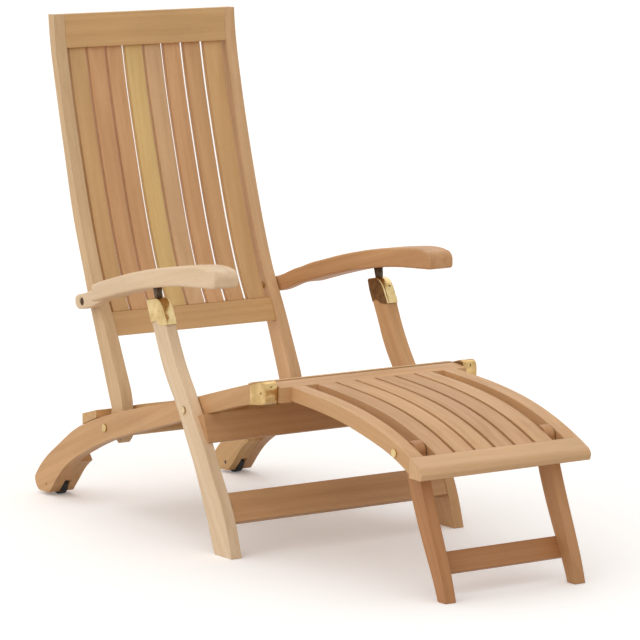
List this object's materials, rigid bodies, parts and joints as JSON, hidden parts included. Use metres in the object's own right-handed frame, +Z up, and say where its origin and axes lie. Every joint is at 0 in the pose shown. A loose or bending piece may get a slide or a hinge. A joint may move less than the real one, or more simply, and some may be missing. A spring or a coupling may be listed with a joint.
{
  "type": "folding steamer deck chair",
  "caption": "Folding teak steamer chair with a tall curved slatted back, crowned arms on brass-capped legs, a bowed footrest on its own folding legs, and small wheels in the rear feet.",
  "frame": {"origin": "on the floor under the centre of the chair's outline, in the sitting position", "axes": "+Z up, +Y from the footrest towards the back rest, +X towards the sitter's left"},
  "size_m": [0.576, 1.3621, 1.016],
  "materials": {
    "teak": "fine sanded bare wood, matte",
    "brass": "polished cast and turned brass",
    "dark_steel": "blackened, satin",
    "wheel_rubber": "matte black"
  },
  "bodies": {
    "seat_frame": {"side_rail_right": "teak", "side_rail_left": "teak", "wheel_cheek_right": "teak", "wheel_cheek_left": "teak", "seat_rear_rail": "teak", "seat_front_rail": "teak", "seat_slat_1": "teak", "seat_slat_2": "teak", "seat_slat_3": "teak", "seat_slat_4": "teak", "seat_slat_5": "teak", "seat_slat_6": "teak", "seat_slat_7": "teak", "seat_slat_8": "teak", "knee_cap_right": "brass", "knee_cap_left": "brass", "wheel_axles": "dark_steel", "leg_bolts": "brass"},
    "back_pivots": {"back_bolts": "brass", "back_pivot_rail": "teak"},
    "back": {"back_stile_right": "teak", "back_stile_left": "teak", "back_top_rail": "teak", "back_lower_rail": "teak", "back_slat_1": "teak", "back_slat_2": "teak", "back_slat_3": "teak", "back_slat_4": "teak", "back_slat_5": "teak", "back_slat_6": "teak", "back_slat_7": "teak", "back_slat_8": "teak", "arm_bolts": "brass", "arm_washers": "brass"},
    "arm_right": {"arm_right": "teak"},
    "arm_left": {"arm_left": "teak"},
    "front_legs": {"front_leg_right": "teak", "front_leg_left": "teak", "leg_cap_right": "brass", "leg_cap_left": "brass", "arm_posts": "dark_steel", "upper_cross_rail": "teak", "lower_stretcher": "teak"},
    "footrest": {"footrest_stile_right": "teak", "footrest_stile_left": "teak", "footrest_rear_rail": "teak", "footrest_nose_rail": "teak", "footrest_slat_1": "teak", "footrest_slat_2": "teak", "footrest_slat_3": "teak", "footrest_slat_4": "teak", "footrest_slat_5": "teak", "footrest_slat_6": "teak", "footrest_leg_bolts": "brass"},
    "footrest_legs": {"footrest_leg_right": "teak", "footrest_leg_left": "teak", "footrest_leg_bar": "teak"},
    "wheel_right": {"wheel_right": "wheel_rubber"},
    "wheel_left": {"wheel_left": "wheel_rubber"}
  },
  "joints": [
    {"name": "recline", "type": "hinge", "parent": "seat_frame", "child": "back_pivots", "pos_m": [0, 0.39, 0.181], "axis": [-1, 0, 0], "range_deg": [0, 12]},
    {"name": "fold", "type": "hinge", "parent": "back_pivots", "child": "back", "pos_m": [0, 0.39, 0.181], "axis": [-1, 0, 0], "range_deg": [-78, 0]},
    {"name": "arm_right_fold", "type": "hinge", "parent": "back", "child": "arm_right", "pos_m": [0, 0.486, 0.432], "axis": [-1, 0, 0], "range_deg": [0, 86]},
    {"name": "arm_left_fold", "type": "hinge", "parent": "back", "child": "arm_left", "pos_m": [0, 0.486, 0.432], "axis": [-1, 0, 0], "range_deg": [0, 86]},
    {"name": "legs_fold", "type": "hinge", "parent": "seat_frame", "child": "front_legs", "pos_m": [0, 0.043, 0.271], "axis": [-1, 0, 0], "range_deg": [-90, 0]},
    {"name": "footrest_lift", "type": "hinge", "parent": "seat_frame", "child": "footrest", "pos_m": [0, -0.191, 0.332], "axis": [-1, 0, 0], "range_deg": [0, 130]},
    {"name": "footrest_legs_fold", "type": "hinge", "parent": "footrest", "child": "footrest_legs", "pos_m": [0, -0.563, 0.27], "axis": [1, 0, 0], "range_deg": [0, 110]},
    {"name": "wheel_right_spin", "type": "hinge", "parent": "seat_frame", "child": "wheel_right", "pos_m": [0, 0.633, 0.024], "axis": [1, 0, 0], "continuous": true},
    {"name": "wheel_left_spin", "type": "hinge", "parent": "seat_frame", "child": "wheel_left", "pos_m": [0, 0.633, 0.024], "axis": [1, 0, 0], "continuous": true}
  ],
  "couplings": [
    {"joint": "legs_fold", "follows": "fold", "ratio": 1.125},
    {"joint": "arm_right_fold", "follows": "fold", "ratio": -1.09},
    {"joint": "arm_left_fold", "follows": "fold", "ratio": -1.09}
  ]
}
